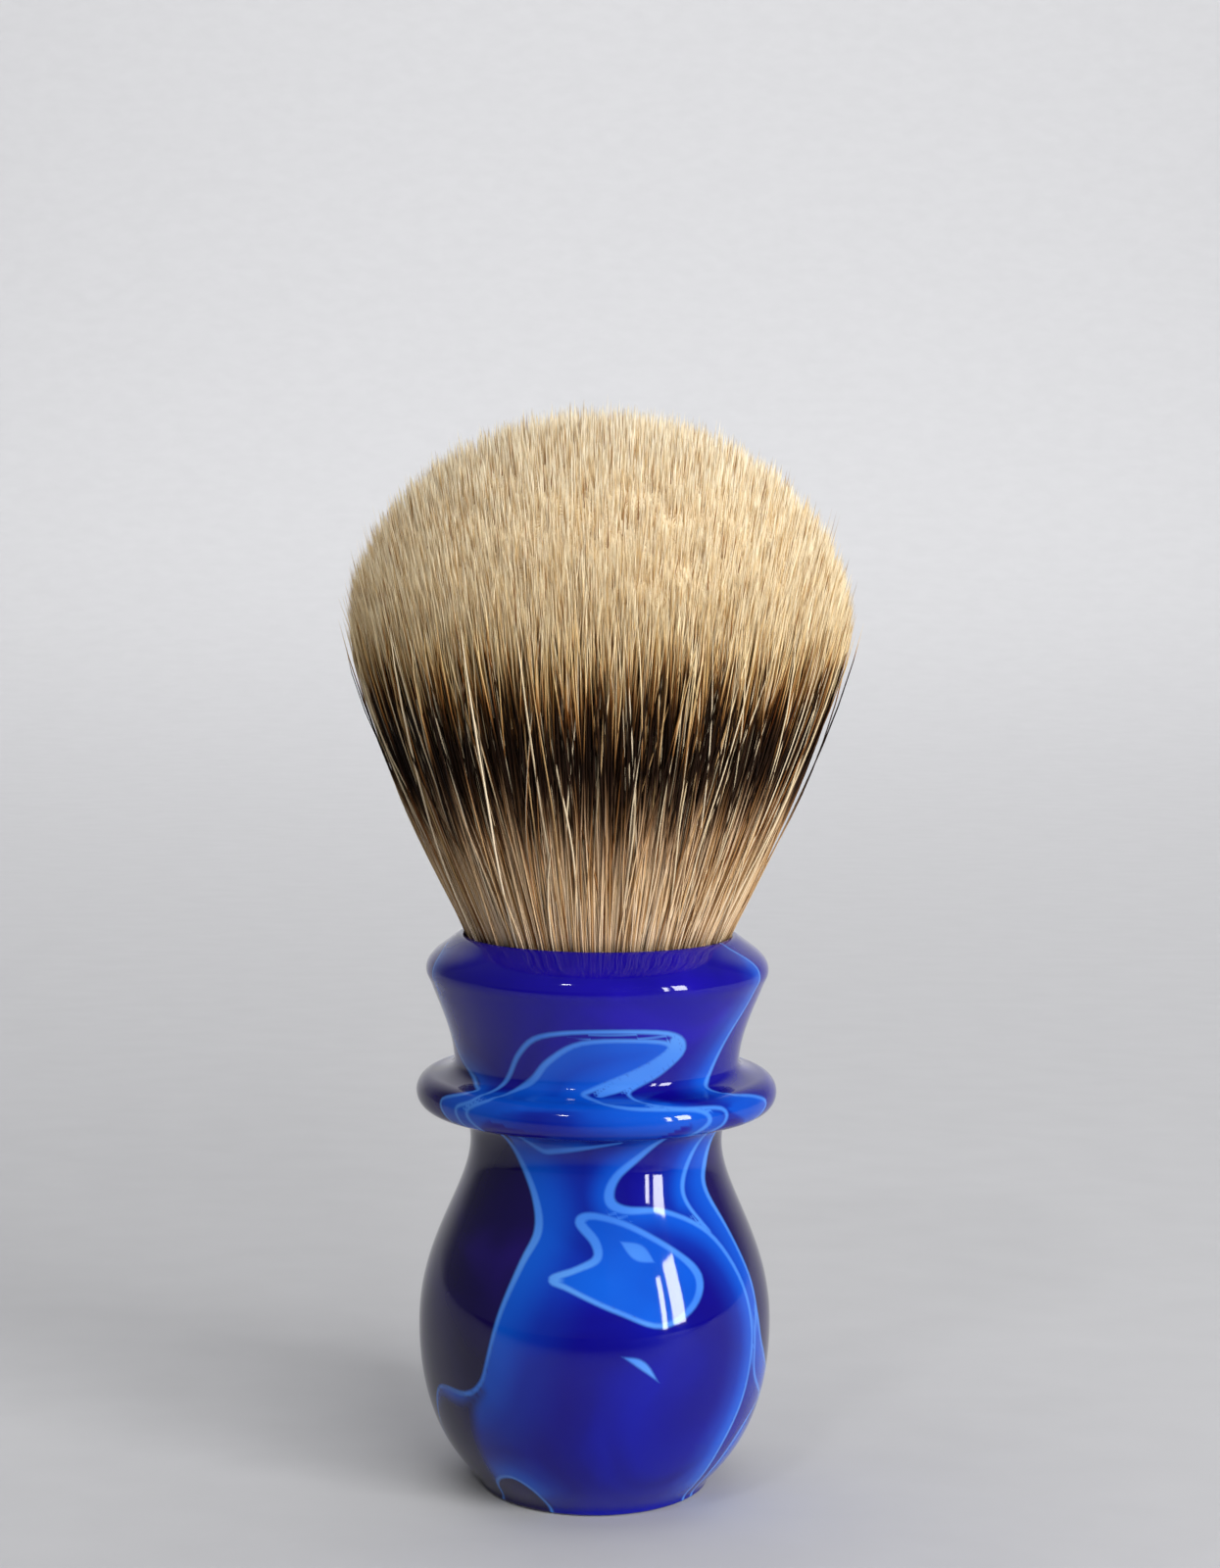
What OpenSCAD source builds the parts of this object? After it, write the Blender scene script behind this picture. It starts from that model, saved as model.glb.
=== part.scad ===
// Shaving brush: a turned resin handle with a hair knot glued in its socket.
// Millimetres, +Z up. The origin is the centre of the foot, on the surface it stands on.

/* [Handle] */
// Height of the handle, from the foot to the mouth of the socket
handle_height = 56; // [54:0.5:60]
// Diameter of the flat foot
foot_diameter = 21.8; // [20:0.1:24]
// Widest diameter of the bulb, where the fingers hold it
bulb_diameter = 35.6; // [33:0.1:38]
// Height of the bulb's widest line
bulb_height = 16.6; // [15:0.1:18]
// Narrowest diameter of the neck, under the ring
neck_diameter = 25.4; // [24:0.1:27]
// Height of the neck's narrowest line
neck_height = 35.2; // [34:0.1:35.8]
// Outer diameter of the ring
ring_diameter = 36.3; // [34:0.1:39]
// Thickness of the ring near its edge
ring_thickness = 3.6; // [3:0.1:3.8]
// Distance from the ring's edge line up to the mouth of the socket
ring_drop = 15.8; // [15.5:0.1:16.2]
// Diameter of the collar where it rises from the ring
collar_diameter = 28.7; // [28.2:0.1:30]
// Widest diameter of the rim
rim_diameter = 34.4; // [33:0.1:36]

/* [Socket and knot] */
// Diameter of the blind socket in the handle
socket_diameter = 25.4; // [25:0.1:25.8]
// Depth of the socket, from its mouth
socket_depth = 12.5; // [12:0.1:13.5]
// Diameter of the mouth, where the socket opens for the hair
mouth_diameter = 26.6; // [26.2:0.1:27]
// Diameter of the resin plug that holds the hair ends
plug_diameter = 24.8; // [24.2:0.1:24.8]
// Height of the resin plug
plug_height = 6.5; // [5.5:0.1:7]
// Thickness of the adhesive under the plug
adhesive_bed = 0.5; // [0.3:0.05:0.8]
// Diameter of the binding thread
thread_diameter = 0.5; // [0.4:0.05:0.6]
// Turns of binding thread round the hair
thread_turns = 4; // [3:1:5]

/* [Hair] */
// Height of the hair above the mouth of the socket
loft = 52; // [48:0.5:56]
// Widest diameter of the fanned hair
bloom_diameter = 49.6; // [46:0.1:54]
// Height of the widest line above the mouth of the socket
bloom_height = 30.6; // [28:0.1:33]
// Diameter of the hair where it leaves the mouth
hair_root_diameter = 26; // [25.4:0.1:26.1]
// Height of the first bending length of hair, above the mouth
bend_height = 9.7; // [8:0.1:11]

/* [Hidden] */
$fn = 96;

// Radii of the handle
foot_r = foot_diameter / 2;
bulb_r = bulb_diameter / 2;
neck_r = neck_diameter / 2;
ring_r = ring_diameter / 2;
collar_r = collar_diameter / 2;
rim_r = rim_diameter / 2;
socket_r = socket_diameter / 2;
mouth_r = mouth_diameter / 2;

// Heights of the handle
collar_lift = 1.4;
rim_drop = 3.5;
mouth_z = handle_height;
ring_z = mouth_z - ring_drop;
ring_half = ring_thickness / 2;
ring_top_z = ring_z + ring_half;
ring_bottom_z = ring_z - ring_half;
collar_z = ring_top_z + collar_lift;
rim_z = mouth_z - rim_drop;
socket_floor_z = mouth_z - socket_depth;

// Roundings: radius across, and height where it differs
foot_round = 0.8;
foot_rise = 0.4;
ring_nose = 1.75;
lip_round = 0.35;
lip_depth = 2.5;

// Edge of the rim: where its round nose starts, how far it stands out, and the slope above it
rim_nose = 0.5;
rim_nose_height = 1.4;
rim_slope_width = 2.2;
rim_slope_height = 0.8;

// How far each curve of the outline is pulled on past its ends before it turns
foot_pull = [0.25, 1.5];
bulb_low_pull = 12;
bulb_high_pull = 8.5;
neck_pull = 5.1;
ring_under_pull = 0.7;
cove_under_pull = [1.4, 0.2];
cove_top_pull = [1.05, 0.15];
collar_foot_pull = 0.9;
collar_pull = [0.15, 2.8];
rim_under_pull = [0.8, 2.1];
rim_pull = [0.25, 0.6];
rim_top_pull = 1.1;
rim_slope_pull = [1.3, 0.9];
mouth_slope_pull = [0.7, 0.5];
curve_steps = 16;
round_steps = 6;

// Knot, from the floor of the socket up
plug_r = plug_diameter / 2;
plug_z = socket_floor_z + adhesive_bed;
plug_top_z = plug_z + plug_height;
plug_chamfer = 0.4;
thread_r = thread_diameter / 2;
thread_flat = 0.98;
bound_r = plug_r - thread_diameter;
bound_top_z = plug_top_z + thread_turns * thread_diameter;
bound_swell = [0.3, 0.6];
root_gap = 0.2;
root_r = hair_root_diameter / 2;

// Hair above the mouth; the three lengths of hair keep a small gap between them
hair_gap = 0.3;
bend_z = mouth_z + hair_gap;
bend_top_z = mouth_z + bend_height;
tuft_z = bend_top_z + hair_gap;
bloom_r = bloom_diameter / 2;
bloom_z = mouth_z + bloom_height;
dome_height = loft - bloom_height;
fan_steps = 20;
dome_steps = 24;
point_gap = 0.2;

// The fan's curve leaves the mouth towards the first share of the way out and up to the bloom,
// and reaches the bloom from the second
fan_low_share = [0.43, 0.335];
fan_high_share = [0.86, 0.72];

// Points along a smooth curve from a to d that leaves towards b and arrives from c
function curve_point(a, b, c, d, t) =
    let (s = 1 - t)
    s * s * s * a + 3 * s * s * t * b + 3 * s * t * t * c + t * t * t * d;
function curve(a, b, c, d, steps) =
    [for (i = [1:steps]) curve_point(a, b, c, d, i / steps)];

// Points along part of an ellipse about a centre, between two angles
function arc(centre, across, up, from, to, steps) =
    [for (i = [1:steps])
        let (a = from + (to - from) * i / steps)
        centre + [across * cos(a), up * sin(a)]];

// Places that two curves of the outline share, from the foot up
foot_edge = [foot_r + foot_round, foot_rise];
bulb_edge = [bulb_r, bulb_height];
neck_edge = [neck_r, neck_height];
ring_under = [ring_r - ring_nose, ring_bottom_z];
ring_over = [ring_r - ring_nose, ring_top_z];
collar_edge = [collar_r, collar_z];
rim_start = [rim_r - rim_nose, rim_z - rim_nose_height];
rim_edge = [rim_r, rim_z];
slope_edge = [rim_r - rim_slope_width, mouth_z - rim_slope_height];
lip_edge = [mouth_r + lip_round, mouth_z];

// Foot, bulb and neck, from the foot's edge up
function bulb_outline() = concat(
    [[0, 0], [foot_r, 0]],
    arc([foot_r, foot_rise], foot_round, foot_rise, -90, 0, round_steps),
    curve(foot_edge, foot_edge + foot_pull, bulb_edge - [0, bulb_low_pull], bulb_edge, curve_steps),
    curve(bulb_edge, bulb_edge + [0, bulb_high_pull], neck_edge - [0, neck_pull], neck_edge, curve_steps));

// Underside, edge and top of the ring, with a cove into the neck and the collar
function ring_outline() = concat(
    curve(neck_edge, [neck_r, ring_bottom_z - ring_under_pull],
          [neck_r, ring_bottom_z] + [cove_under_pull[0], -cove_under_pull[1]], ring_under, curve_steps),
    arc([ring_r - ring_nose, ring_z], ring_nose, ring_half, -90, 90, curve_steps),
    curve(ring_over, [collar_r, ring_top_z] + cove_top_pull,
          collar_edge - [0, collar_foot_pull], collar_edge, curve_steps));

// Collar, rim and the slope down into the mouth
function collar_outline() = concat(
    curve(collar_edge, collar_edge + collar_pull, rim_start - rim_under_pull, rim_start, curve_steps),
    curve(rim_start, rim_start + rim_pull, rim_edge - [0, rim_nose], rim_edge, round_steps),
    curve(rim_edge, rim_edge + [0, rim_top_pull],
          slope_edge + [rim_slope_pull[0], -rim_slope_pull[1]], slope_edge, curve_steps),
    curve(slope_edge, slope_edge + [-mouth_slope_pull[0], mouth_slope_pull[1]],
          lip_edge + [lip_round, 0], lip_edge, round_steps),
    arc([mouth_r + lip_round, mouth_z - lip_round], lip_round, lip_round, 90, 180, round_steps));

// Blind socket: a short taper under the lip, then a true bore to a flat floor
function socket_outline() = [
    [socket_r, mouth_z - lip_depth],
    [socket_r, socket_floor_z],
    [0, socket_floor_z]];

// Point of the hair's fan at a share t of the way from the mouth to the bloom
function fan_point(t) =
    let (rise = bloom_z - mouth_z, spread = bloom_r - root_r)
    curve_point(
        [root_r, mouth_z],
        [root_r + spread * fan_low_share[0], mouth_z + rise * fan_low_share[1]],
        [root_r + spread * fan_high_share[0], mouth_z + rise * fan_high_share[1]],
        [bloom_r, bloom_z], t);

// The same fan, cut between two heights
function fan_between(low, high) =
    [for (i = [0:fan_steps])
        let (p = fan_point(i / fan_steps))
        if (p[1] > low && p[1] < high) p];

// Radius of the fan at a height, between the two nearest points of the curve
function fan_r(z) =
    let (below = [for (i = [0:fan_steps]) let (p = fan_point(i / fan_steps)) if (p[1] <= z) p],
         above = [for (i = [0:fan_steps]) let (p = fan_point(i / fan_steps)) if (p[1] > z) p],
         a = below[len(below) - 1],
         b = above[0])
    a[0] + (b[0] - a[0]) * (z - a[1]) / (b[1] - a[1]);

// Points of the dome of tips, from the bloom up to its top
function dome_points() = concat(
    [for (i = [0:dome_steps - 1])
        let (a = 90 * i / dome_steps)
        [bloom_r * cos(a), bloom_z + dome_height * sin(a)]],
    [[0, bloom_z + dome_height]]);

// One turned piece: handle with its bulb, ring, collar and blind socket
module handle() {
    color("mediumblue")
        rotate_extrude()
            polygon(concat(bulb_outline(), ring_outline(), collar_outline(), socket_outline()));
}

// Adhesive that sets the knot: a bed on the socket's floor and a thin sleeve round the plug
module setting_epoxy() {
    color("wheat")
        difference() {
            translate([0, 0, socket_floor_z])
                cylinder(r = socket_r, h = adhesive_bed + plug_height);
            translate([0, 0, plug_z])
                cylinder(r = plug_r, h = 2 * plug_height);
        }
}

// Resin plug that the hair ends are cast in
module knot_plug() {
    color("peru")
        rotate_extrude()
            polygon([
                [0, plug_z],
                [plug_r - plug_chamfer, plug_z],
                [plug_r, plug_z + plug_chamfer],
                [plug_r, plug_top_z],
                [0, plug_top_z]]);
}

// Thread wound side by side round the hair, just above the plug
module binding_thread() {
    color("ivory")
        rotate_extrude()
            union() {
                translate([bound_r, plug_top_z])
                    square([thread_r, thread_turns * thread_diameter]);
                for (turn = [0:thread_turns - 1])
                    translate([bound_r + thread_r, plug_top_z + (turn + 0.5) * thread_diameter])
                        circle(r = thread_r * thread_flat, $fn = 24);
            }
}

// Bound hair inside the socket, opening towards the mouth
module hair_roots() {
    color("tan")
        rotate_extrude()
            polygon([
                [0, plug_top_z],
                [bound_r, plug_top_z],
                [bound_r, bound_top_z],
                [bound_r, bound_top_z] + bound_swell,
                [socket_r - root_gap, mouth_z - lip_depth],
                [root_r, mouth_z],
                [0, mouth_z]]);
}

// First length of hair above the mouth, which bends when the tuft leans
module hair_bend() {
    color("burlywood")
        rotate_extrude()
            polygon(concat(
                [[0, bend_z], [fan_r(bend_z), bend_z]],
                fan_between(bend_z + point_gap, bend_top_z - point_gap),
                [[fan_r(bend_top_z), bend_top_z], [0, bend_top_z]]));
}

// Free hair: the rest of the fan and the domed tips
module hair_tuft() {
    color("antiquewhite")
        rotate_extrude()
            polygon(concat(
                [[0, tuft_z], [fan_r(tuft_z), tuft_z]],
                fan_between(tuft_z + point_gap, bloom_z - point_gap),
                dome_points()));
}

handle();
setting_epoxy();
knot_plug();
binding_thread();
hair_roots();
hair_bend();
hair_tuft();
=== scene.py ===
# %% [markdown]
# # A badger-hair shaving brush
# The brush has a handle turned from marbled resin and a knot of hair glued in a socket in its top.
# The CAD frame gives every size and place; this script makes the looks. It works in metres, as the
# frame does, and `mm` turns a size in millimetres into metres.

# %% Load the frame
import math

import bpy
import numpy as np
from mathutils import Matrix, Vector


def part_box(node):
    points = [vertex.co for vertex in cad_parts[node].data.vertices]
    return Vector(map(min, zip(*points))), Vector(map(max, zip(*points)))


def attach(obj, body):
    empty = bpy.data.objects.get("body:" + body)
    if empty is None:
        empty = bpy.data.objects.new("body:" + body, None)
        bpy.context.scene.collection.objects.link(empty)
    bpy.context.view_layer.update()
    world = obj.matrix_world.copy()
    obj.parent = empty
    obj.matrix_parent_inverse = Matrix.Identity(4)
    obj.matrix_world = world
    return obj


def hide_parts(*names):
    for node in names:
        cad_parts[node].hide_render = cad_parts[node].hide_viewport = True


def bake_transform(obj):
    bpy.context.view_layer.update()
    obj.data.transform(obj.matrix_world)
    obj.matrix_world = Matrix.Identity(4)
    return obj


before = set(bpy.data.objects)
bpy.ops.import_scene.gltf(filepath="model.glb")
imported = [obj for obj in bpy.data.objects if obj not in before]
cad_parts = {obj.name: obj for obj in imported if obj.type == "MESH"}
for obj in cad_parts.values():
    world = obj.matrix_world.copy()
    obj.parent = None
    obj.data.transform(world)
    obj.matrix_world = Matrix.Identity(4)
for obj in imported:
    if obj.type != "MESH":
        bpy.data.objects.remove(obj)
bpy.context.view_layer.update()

mm = 0.001

# %% [markdown]
# ## Sizes from the frame
# The mouth of the socket, the hair's height and its two bending lengths are read from the CAD nodes,
# so that the hair grows out of the mouth and fills the space that the CAD solids hold.

# %% Heights and radii
mouth_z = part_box("hair_roots")[1][2]
root_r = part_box("hair_roots")[1][0]
split_z = (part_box("hair_bend")[1][2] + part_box("hair_tuft")[0][2]) / 2
top_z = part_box("hair_tuft")[1][2]
bloom_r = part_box("hair_tuft")[1][0]
loft = top_z - mouth_z
bloom_height = 30.6 * mm
bloom_z = mouth_z + bloom_height
heights = {"mouth": mouth_z, "split": split_z, "top": top_z, "bloom": bloom_z}
print({name: round(z / mm, 1) for name, z in heights.items()}, "mm")

# %% [markdown]
# ## Colours
# Colours are picked as sRGB hex values, as a colour card gives them. Blender's shaders work with linear
# light, so one function turns a hex value to linear.

# %% Hex to linear
def linear(hex_colour):
    srgb = [int(hex_colour[i:i + 2], 16) / 255 for i in (1, 3, 5)]
    light = [c / 12.92 if c <= 0.04045 else ((c + 0.055) / 1.055) ** 2.4 for c in srgb]
    return (*light, 1.0)


print("azure in linear light:", [round(c, 3) for c in linear("#0c52dc")])

# %% [markdown]
# ## One helper for nodes
# A material is a graph of nodes. `add` makes one node, sets its properties, and fills its inputs: an
# input is either a plain value or the output of another node. A colour ramp is given its stops too.

# %% Add a node
def add(tree, kind, inputs=None, stops=(), **settings):
    node = tree.nodes.new("ShaderNode" + kind)
    for name, value in settings.items():
        setattr(node, name, value)
    for name, value in (inputs or {}).items():
        if isinstance(value, bpy.types.NodeSocket):
            tree.links.new(value, node.inputs[name])
        else:
            node.inputs[name].default_value = value
    if stops:
        stops = [(place, linear(colour)) for place, colour in stops]
        first, last = node.color_ramp.elements
        first.position, first.color = stops[0]
        last.position, last.color = stops[-1]
        for place, colour in stops[1:-1]:
            node.color_ramp.elements.new(place).color = colour
    return node


def new_material(name):
    material = bpy.data.materials.new(name)
    material.use_nodes = True
    material.node_tree.nodes.clear()
    return material, material.node_tree


def finish_material(tree, **surface):
    inputs = {name.replace("_", " "): value for name, value in surface.items()}
    principled = add(tree, "BsdfPrincipled", inputs)
    add(tree, "OutputMaterial", {"Surface": principled.outputs[0]})


print("material helpers are ready")

# %% [markdown]
# ## The camera
# The brush is looked at from close by, with the camera a little under the top of the hair and tilted
# down slightly. So near an object, the distance matters more than the lens: it decides how much of the
# ring's top and how little of the rim's top shows.

# %% Camera
lens_mm = 58.5
camera_place = (1.1 * mm, -254 * mm, 91.5 * mm)
tilt_down = 4.62
roll = 0.5
camera_data = bpy.data.cameras.new("camera")
camera_data.sensor_fit = "VERTICAL"
camera_data.sensor_height = 36
camera_data.lens = lens_mm
camera_data.clip_start = 0.01
camera = bpy.data.objects.new("camera", camera_data)
bpy.context.collection.objects.link(camera)
camera.matrix_world = (
    Matrix.Translation(camera_place)
    @ Matrix.Rotation(math.radians(90 - tilt_down), 4, "X")
    @ Matrix.Rotation(math.radians(roll), 4, "Z")
)
bpy.context.scene.camera = camera
bpy.context.scene.view_settings.view_transform = "Standard"
print("camera distance:", round(camera.location.length / mm), "mm")

# %% [markdown]
# ## Floor and backdrop
# A photographer's sweep is one sheet that lies on the table and curves up behind the object, so that no
# edge shows. Its side view is a short cage of points, which Subdivision Surface bends into a curve. The
# paper is a pale grey, and towards the camera painted shade darkens it, as if less light fell there: a white
# floor would mirror in the polished collar and the lower half of the bulb, and veil their blue.

# %% Sweep
paper, tree = new_material("matte_paper_backdrop")
fibre = add(tree, "TexNoise", {"Scale": 400.0, "Detail": 3.0})
tone = add(tree, "ValToRGB", {"Fac": fibre.outputs["Fac"]}, [(0.3, "#bababc"), (0.7, "#bdbdbf")]).outputs[0]
place = add(tree, "TexCoord").outputs["Object"]
forward = add(tree, "SeparateXYZ", {"Vector": place}).outputs["Y"]
# Painted shade: the paper's colour darkens towards the camera, standing for the lesser light that falls
# there.
darkest_y, palest_y, least_light = -0.20, -0.06, 0.12
limits = {"Value": forward, "From Min": darkest_y, "From Max": palest_y, "To Min": least_light}
painted_front_shade = add(tree, "MapRange", limits, interpolation_type="SMOOTHSTEP").outputs["Result"]
paper_with_painted_shade = add(tree, "Mix", {"Factor": 1.0, 6: tone, 7: painted_front_shade}, data_type="RGBA", blend_type="MULTIPLY")
finish_material(tree, Base_Color=paper_with_painted_shade.outputs[2], Roughness=0.8)

side_view = [(-1.6, 0), (-0.6, 0), (0.5, 0), (1.0, 0), (1.25, 0.12), (1.35, 0.5), (1.35, 1.2), (1.35, 2.2)]
half_width = 2.2
sweep_mesh = bpy.data.meshes.new("sweep")
corners = [(x, y, z) for y, z in side_view for x in (-half_width, half_width)]
strips = [(2 * i, 2 * i + 1, 2 * i + 3, 2 * i + 2) for i in range(len(side_view) - 1)]
sweep_mesh.from_pydata(corners, [], strips)
sweep = bpy.data.objects.new("sweep", sweep_mesh)
bpy.context.collection.objects.link(sweep)
sweep.data.materials.append(paper)
bend = sweep.modifiers.new("bend", "SUBSURF")
bend.levels = 4
bend.render_levels = 4
for polygon in sweep_mesh.polygons:
    polygon.use_smooth = True
print("sweep:", len(strips), "coarse strips")

# %% [markdown]
# ## Lights
# Polished resin is a mirror, so each light that it sees is also a shape in the handle. These may be seen:
# a tall window in two panes at the front right, a small light at the front left, high enough to glint on
# the rim and the ring but not on the bulb, and a strip that lights the backdrop. The wide soft lights for
# the hair are kept out of reflections, as a photographer does with black card. Each softbox is given its
# place and aim in metres, its width and height in metres, and its power in watts.

# %% Softboxes
def softbox(name, place, aim, width, height, watts, seen=True):
    data = bpy.data.lights.new(name, "AREA")
    data.shape = "RECTANGLE"
    data.size = width
    data.size_y = height
    data.energy = watts
    light = bpy.data.objects.new(name, data)
    bpy.context.collection.objects.link(light)
    turn = (Vector(aim) - Vector(place)).to_track_quat("-Z", "Y")
    light.matrix_world = Matrix.Translation(place) @ turn.to_matrix().to_4x4()
    light.visible_glossy = seen
    return light


softbox("window_narrow_pane", (0.62, -0.60, 0.200), (0, 0, 0.03), 0.05, 0.33, 1.3)
softbox("window_wide_pane", (0.72, -0.48, 0.230), (0, 0, 0.03), 0.14, 0.36, 3.8)
softbox("small_front_left", (-0.32, -0.72, 0.80), (0, 0, 0.05), 0.10, 0.05, 0.9)
softbox("overhead", (0.0, 0.10, 0.95), (0, 0.02, 0), 1.0, 0.9, 4.4, seen=False)
softbox("front_fill", (0.52, -0.85, 0.42), (0, 0, 0.07), 0.8, 0.6, 10.5, seen=False)
wash = softbox("backdrop_wash", (0, 0.45, 1.5), (0, 1.3, 0.4), 2.2, 0.5, 12)
wash.data.spread = math.radians(110)
world = bpy.data.worlds.new("room")
bpy.context.scene.world = world
world.use_nodes = True
room_light = world.node_tree.nodes["Background"]
room_light.inputs["Color"].default_value = linear("#eceef2")
room_light.inputs["Strength"].default_value = 0.2

# %% [markdown]
# ## Smooth lines from a few points
# Three kinds of smooth line are used. `curve` is the cubic curve of the CAD outline, given by its two ends
# and two pulling points, and `arc` is part of an ellipse. `through` passes through every point that it is
# given (a Catmull-Rom curve), and carries any other number of the points along, such as a width.

# %% Curve helpers
def curve(a, b, c, d, steps):
    t = np.linspace(0, 1, steps + 1)[1:, None]
    a, b, c, d = (np.array(p, float) for p in (a, b, c, d))
    return (1 - t) ** 3 * a + 3 * (1 - t) ** 2 * t * b + 3 * (1 - t) * t ** 2 * c + t ** 3 * d


def arc(centre, across, up, start, end, steps):
    angle = np.radians(np.linspace(start, end, steps + 1)[1:])
    return np.stack([centre[0] + across * np.cos(angle), centre[1] + up * np.sin(angle)], 1)


def through(points, closed, per_span):
    p = np.array(points, float)
    if closed:
        p = np.concatenate([p[-1:], p, p[:2]])
    else:
        p = np.concatenate([2 * p[:1] - p[1:2], p, 2 * p[-1:] - p[-2:-1]])
    t = np.arange(per_span)[:, None] / per_span
    spans = []
    for a, b, c, d in zip(p[:-3], p[1:-2], p[2:-1], p[3:]):
        spans.append(0.5 * (2 * b + (c - a) * t + (2 * a - 5 * b + 4 * c - d) * t ** 2
                            + (3 * b - a - 3 * c + d) * t ** 3))
    line = np.concatenate(spans)
    return np.concatenate([line, line[:1] if closed else p[-2:-1]])


print("a line through 3 points has", len(through([(0, 0), (1, 1), (2, 0)], False, 6)), "points")

# %% [markdown]
# ## The handle's outline
# On a lathe the resin is cut to an outline while it spins. Here the same outline, in (radius, height) in
# millimetres, is spun by a Screw modifier. It runs from the socket's floor up, over the rim, and down to
# the foot, because a Screw profile that runs downwards on the outside gives a shape that faces outwards.

# %% Sizes of the handle, in mm
handle_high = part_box("handle")[1][2] / mm
foot_r, foot_round, foot_rise = 10.9, 0.8, 0.4
bulb_r, bulb_z = 17.8, 16.6
neck_r, neck_z = 12.7, 35.2
ring_drop, ring_half, ring_nose = 15.8, 1.8, 1.75
ring_r, ring_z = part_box("handle")[1][0] / mm, handle_high - ring_drop
collar_r, collar_lift = 14.35, 1.4
rim_r, rim_drop = 17.2, 3.5
rim_z = handle_high - rim_drop
socket_r, socket_depth, lip_depth = 12.7, 12.5, 2.5
socket_z = handle_high - socket_depth
mouth_r, lip = 13.3, 0.35
ring_top, ring_low = ring_z + ring_half, ring_z - ring_half
foot_edge, bulb_edge, neck_edge = (foot_r + foot_round, foot_rise), (bulb_r, bulb_z), (neck_r, neck_z)
ring_under, ring_over = (ring_r - ring_nose, ring_low), (ring_r - ring_nose, ring_top)
collar_edge = (collar_r, ring_top + collar_lift)
rim_start, rim_edge = (rim_r - 0.5, rim_z - 1.4), (rim_r, rim_z)
slope_edge, lip_edge = (rim_r - 2.2, handle_high - 0.8), (mouth_r + lip, handle_high)
print("handle:", round(handle_high, 1), "mm high, ring", round(2 * ring_r, 1), "mm across")

# %% Outline of the handle
# The numbers added below are the pulls of each curve in mm, the same as in the CAD, and its steps stand last.
bulb_low_pull, bulb_high_pull, neck_pull = 12, 8.5, 5.1
outside_up = np.concatenate([
    [(foot_r, 0)],
    arc((foot_r, foot_rise), foot_round, foot_rise, -90, 0, 6),
    curve(foot_edge, (foot_r + 1.05, 1.9), (bulb_r, bulb_z - bulb_low_pull), bulb_edge, 50),
    curve(bulb_edge, (bulb_r, bulb_z + bulb_high_pull), (neck_r, neck_z - neck_pull), neck_edge, 50),
    curve(neck_edge, (neck_r, ring_low - 0.7), (neck_r + 1.4, ring_low - 0.2), ring_under, 16),
    arc((ring_r - ring_nose, ring_z), ring_nose, ring_half, -90, 90, 18),
    curve(ring_over, (collar_r + 1.05, ring_top + 0.15), (collar_r, ring_top + 0.5), collar_edge, 12),
    curve(collar_edge, (collar_r + 0.15, ring_top + 4.2), (rim_r - 1.3, rim_z - 3.5), rim_start, 24),
    curve(rim_start, (rim_r - 0.25, rim_z - 0.8), (rim_r, rim_z - 0.5), rim_edge, 5),
    curve(rim_edge, (rim_r, rim_z + 1.1), (rim_r - 0.9, handle_high - 1.7), slope_edge, 12),
    curve(slope_edge, (rim_r - 2.9, handle_high - 0.3), (mouth_r + 2 * lip, handle_high), lip_edge, 6),
    arc((mouth_r + lip, handle_high - lip), lip, lip, 90, 180, 5),
])
print("outside of the handle:", len(outside_up), "points, up to", outside_up[:, 1].max(), "mm")

# %% Spin the handle
weld = 0.001 * mm
turn_steps = 384


def turned(name, outline_mm, steps):
    """A lathe: spins an outline given from top to bottom, and leaves a plain mesh."""
    mesh = bpy.data.meshes.new(name)
    points = [(r * mm, 0, z * mm) for r, z in outline_mm]
    mesh.from_pydata(points, [(i, i + 1) for i in range(len(points) - 1)], [])
    piece = bpy.data.objects.new(name, mesh)
    bpy.context.collection.objects.link(piece)
    spin = piece.modifiers.new("spin", "SCREW")
    spin.steps = steps
    spin.render_steps = steps
    spin.use_merge_vertices = True
    spin.merge_threshold = weld
    spin.use_smooth_shade = True
    bpy.context.view_layer.update()
    done = bpy.data.meshes.new_from_object(piece.evaluated_get(bpy.context.evaluated_depsgraph_get()))
    piece.modifiers.clear()
    piece.data = done
    done.name = name
    bpy.data.meshes.remove(mesh)
    return piece


inside_up = [(0, socket_z), (socket_r, socket_z), (socket_r, handle_high - lip_depth)]
floor_line = [(foot_r * k, 0) for k in (1, 0.7, 0.35, 0)]
handle_outline = np.concatenate([inside_up, outside_up[::-1], floor_line])
handle = turned("marbled_handle", handle_outline, turn_steps)
print("handle:", len(handle.data.vertices), "vertices,", len(handle.data.polygons), "faces")
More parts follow.
